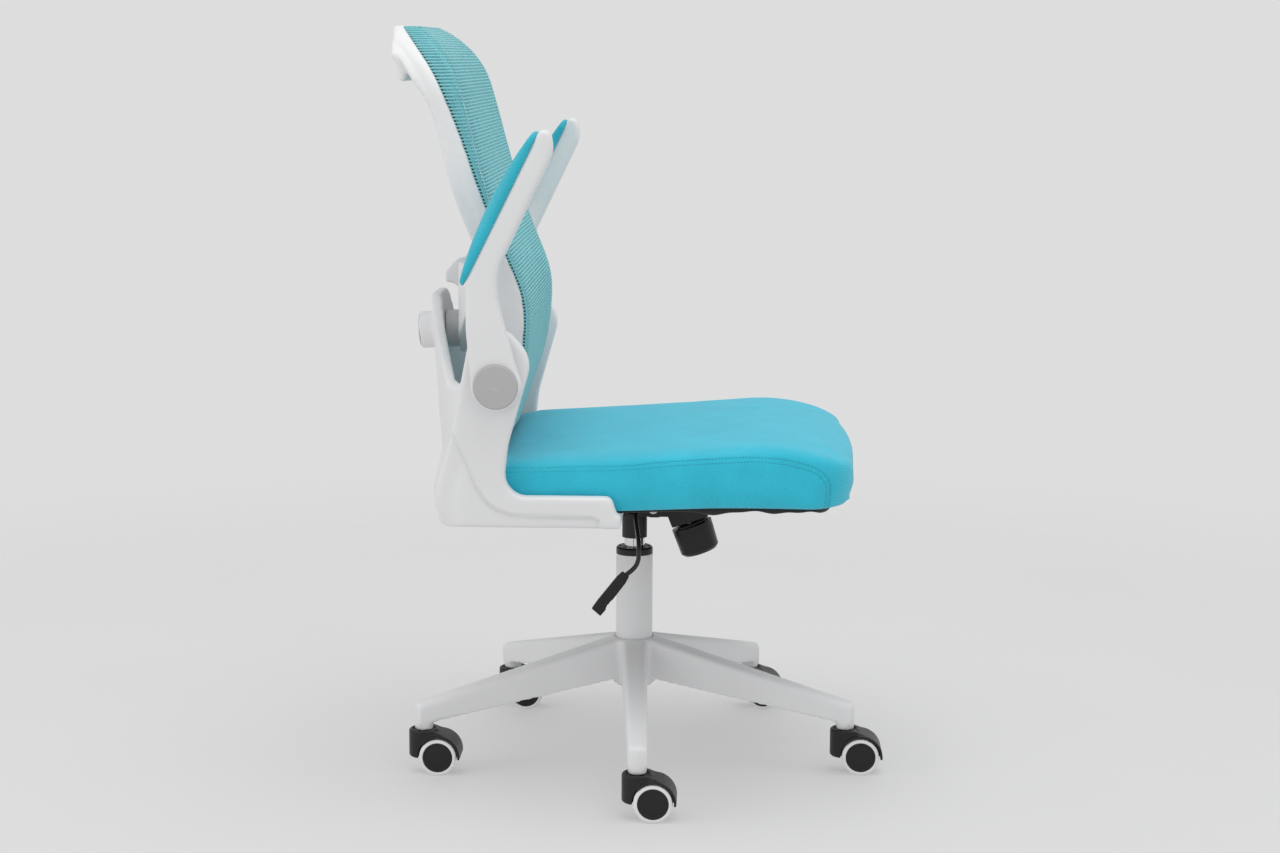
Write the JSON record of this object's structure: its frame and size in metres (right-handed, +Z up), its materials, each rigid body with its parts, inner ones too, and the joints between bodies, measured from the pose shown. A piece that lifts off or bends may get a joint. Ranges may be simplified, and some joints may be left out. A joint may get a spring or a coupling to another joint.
{
  "type": "office chair",
  "caption": "Office swivel chair with a mesh back on a white frame, a blue padded seat, fold-down arms, a gas lift, tilt tension knob and a five-arm base on twin-wheel casters",
  "frame": {"origin": "on the floor, on the gas lift's axis", "axes": "+X the chair's front, +Y the sitter's left, +Z up"},
  "size_m": [0.6397, 0.6246, 0.992],
  "materials": {
    "white_plastic": "satin",
    "white_metal": "satin",
    "arm_fabric": "woven",
    "white_tyre": "matte",
    "grey_plastic": "satin",
    "black_plastic": "matte",
    "black_metal": "satin",
    "steel": "zinc",
    "chrome": "polished",
    "plywood": "raw",
    "blue_fabric": "woven",
    "black_liner": "felt",
    "teal_mesh": "mesh"
  },
  "bodies": {
    "base": {"star_base": "white_plastic", "caster_stems": "steel", "gas_outer_tube": "white_metal", "gas_top_bush": "black_plastic", "gas_thrust_bearing": "steel"},
    "gas_rod": {"gas_piston_rod": "chrome", "gas_rod_clip": "steel"},
    "lift": {"gas_pressure_tube": "chrome", "tilt_bracket": "black_metal", "tilt_axle": "steel", "tension_spring": "black_metal"},
    "release": {"gas_release_pin": "steel"},
    "lever": {"lever_rod": "black_metal", "lever_grip": "black_plastic"},
    "tension": {"tension_bolt": "steel"},
    "knob": {"tension_knob": "black_plastic"},
    "seat": {"seat_plate": "black_metal", "seat_board": "plywood", "seat_cushion": "blue_fabric", "seat_liner": "black_liner", "seat_bolts": "steel", "back_yoke": "white_plastic", "yoke_bolts": "steel", "back_bolt": "steel", "back_cap": "grey_plastic", "back_frame": "white_plastic", "back_mesh": "teal_mesh", "back_bridge": "white_plastic", "bridge_screws": "steel", "arm_pivots": "steel", "arm_caps": "grey_plastic"},
    "lumbar": {"lumbar_pad": "white_plastic", "lumbar_carriage": "white_plastic"},
    "left_armrest": {"left_arm": "white_plastic", "left_arm_pad": "arm_fabric"},
    "right_armrest": {"right_arm": "white_plastic", "right_arm_pad": "arm_fabric"},
    "caster_1": {"caster_1_hood": "black_plastic"},
    "caster_1_pair": {"caster_1_axle": "steel", "caster_1_wheels": "black_plastic", "caster_1_tyres": "white_tyre"},
    "caster_2": {"caster_2_hood": "black_plastic"},
    "caster_2_pair": {"caster_2_axle": "steel", "caster_2_wheels": "black_plastic", "caster_2_tyres": "white_tyre"},
    "caster_3": {"caster_3_hood": "black_plastic"},
    "caster_3_pair": {"caster_3_axle": "steel", "caster_3_wheels": "black_plastic", "caster_3_tyres": "white_tyre"},
    "caster_4": {"caster_4_hood": "black_plastic"},
    "caster_4_pair": {"caster_4_axle": "steel", "caster_4_wheels": "black_plastic", "caster_4_tyres": "white_tyre"},
    "caster_5": {"caster_5_hood": "black_plastic"},
    "caster_5_pair": {"caster_5_axle": "steel", "caster_5_wheels": "black_plastic", "caster_5_tyres": "white_tyre"}
  },
  "joints": [
    {"name": "seat_swivel", "type": "hinge", "parent": "base", "child": "gas_rod", "pos_m": [0, 0, 0.11], "axis": [0, 0, 1], "continuous": true},
    {"name": "seat_height", "type": "slide", "parent": "gas_rod", "child": "lift", "axis": [0, 0, 1], "range_m": [-0.01, 0.085]},
    {"name": "seat_tilt", "type": "hinge", "parent": "lift", "child": "seat", "pos_m": [0.027, 0, 0.352], "axis": [0, -1, 0], "range_deg": [0, 13], "stiffness_Nm_per_rad": 120, "springref_deg": -17.19, "deforming": ["tension_spring"]},
    {"name": "height_lever", "type": "hinge", "parent": "lift", "child": "lever", "pos_m": [0, -0.037, 0.3563], "axis": [-1, 0, 0], "range_deg": [0, 6], "stiffness_Nm_per_rad": 1.5, "springref_deg": -5.73},
    {"name": "valve_pin", "type": "slide", "parent": "lift", "child": "release", "axis": [0, 0, -1], "range_m": [0, 0.006]},
    {"name": "tension_travel", "type": "slide", "parent": "lift", "child": "tension", "axis": [-0.3239, 0, 0.9461], "range_m": [0, 0.0095]},
    {"name": "tension_turn", "type": "hinge", "parent": "tension", "child": "knob", "pos_m": [0.0744, 0, 0.3324], "axis": [-0.3239, 0, 0.9461], "continuous": true},
    {"name": "lumbar_height", "type": "slide", "parent": "seat", "child": "lumbar", "axis": [0, 0, 1], "range_m": [-0.02, 0.02]},
    {"name": "left_arm_fold", "type": "hinge", "parent": "seat", "child": "left_armrest", "pos_m": [-0.162, 0.287, 0.549], "axis": [0, 1, 0], "range_deg": [0, 64]},
    {"name": "right_arm_fold", "type": "hinge", "parent": "seat", "child": "right_armrest", "pos_m": [-0.162, -0.287, 0.549], "axis": [0, 1, 0], "range_deg": [0, 64]},
    {"name": "caster_1_swivel", "type": "hinge", "parent": "base", "child": "caster_1", "pos_m": [0.0156, -0.29759, 0.06], "axis": [0, 0, 1], "continuous": true},
    {"name": "caster_1_roll", "type": "hinge", "parent": "caster_1", "child": "caster_1_pair", "pos_m": [0.0361, -0.29759, 0.025], "axis": [0, 1, 0], "continuous": true},
    {"name": "caster_2_swivel", "type": "hinge", "parent": "base", "child": "caster_2", "pos_m": [0.28785, -0.07713, 0.06], "axis": [0, 0, 1], "continuous": true},
    {"name": "caster_2_roll", "type": "hinge", "parent": "caster_2", "child": "caster_2_pair", "pos_m": [0.30835, -0.07713, 0.025], "axis": [0, 1, 0], "continuous": true},
    {"name": "caster_3_swivel", "type": "hinge", "parent": "base", "child": "caster_3", "pos_m": [0.1623, 0.24992, 0.06], "axis": [0, 0, 1], "continuous": true},
    {"name": "caster_3_roll", "type": "hinge", "parent": "caster_3", "child": "caster_3_pair", "pos_m": [0.1828, 0.24992, 0.025], "axis": [0, 1, 0], "continuous": true},
    {"name": "caster_4_swivel", "type": "hinge", "parent": "base", "child": "caster_4", "pos_m": [-0.18754, 0.23159, 0.06], "axis": [0, 0, 1], "continuous": true},
    {"name": "caster_4_roll", "type": "hinge", "parent": "caster_4", "child": "caster_4_pair", "pos_m": [-0.16704, 0.23159, 0.025], "axis": [0, 1, 0], "continuous": true},
    {"name": "caster_5_swivel", "type": "hinge", "parent": "base", "child": "caster_5", "pos_m": [-0.27821, -0.10679, 0.06], "axis": [0, 0, 1], "continuous": true},
    {"name": "caster_5_roll", "type": "hinge", "parent": "caster_5", "child": "caster_5_pair", "pos_m": [-0.25771, -0.10679, 0.025], "axis": [0, 1, 0], "continuous": true}
  ],
  "couplings": [
    {"joint": "valve_pin", "follows": "height_lever", "m_per_rad": 0.042},
    {"joint": "tension_travel", "follows": "seat_tilt", "m_per_rad": 0.0395}
  ]
}
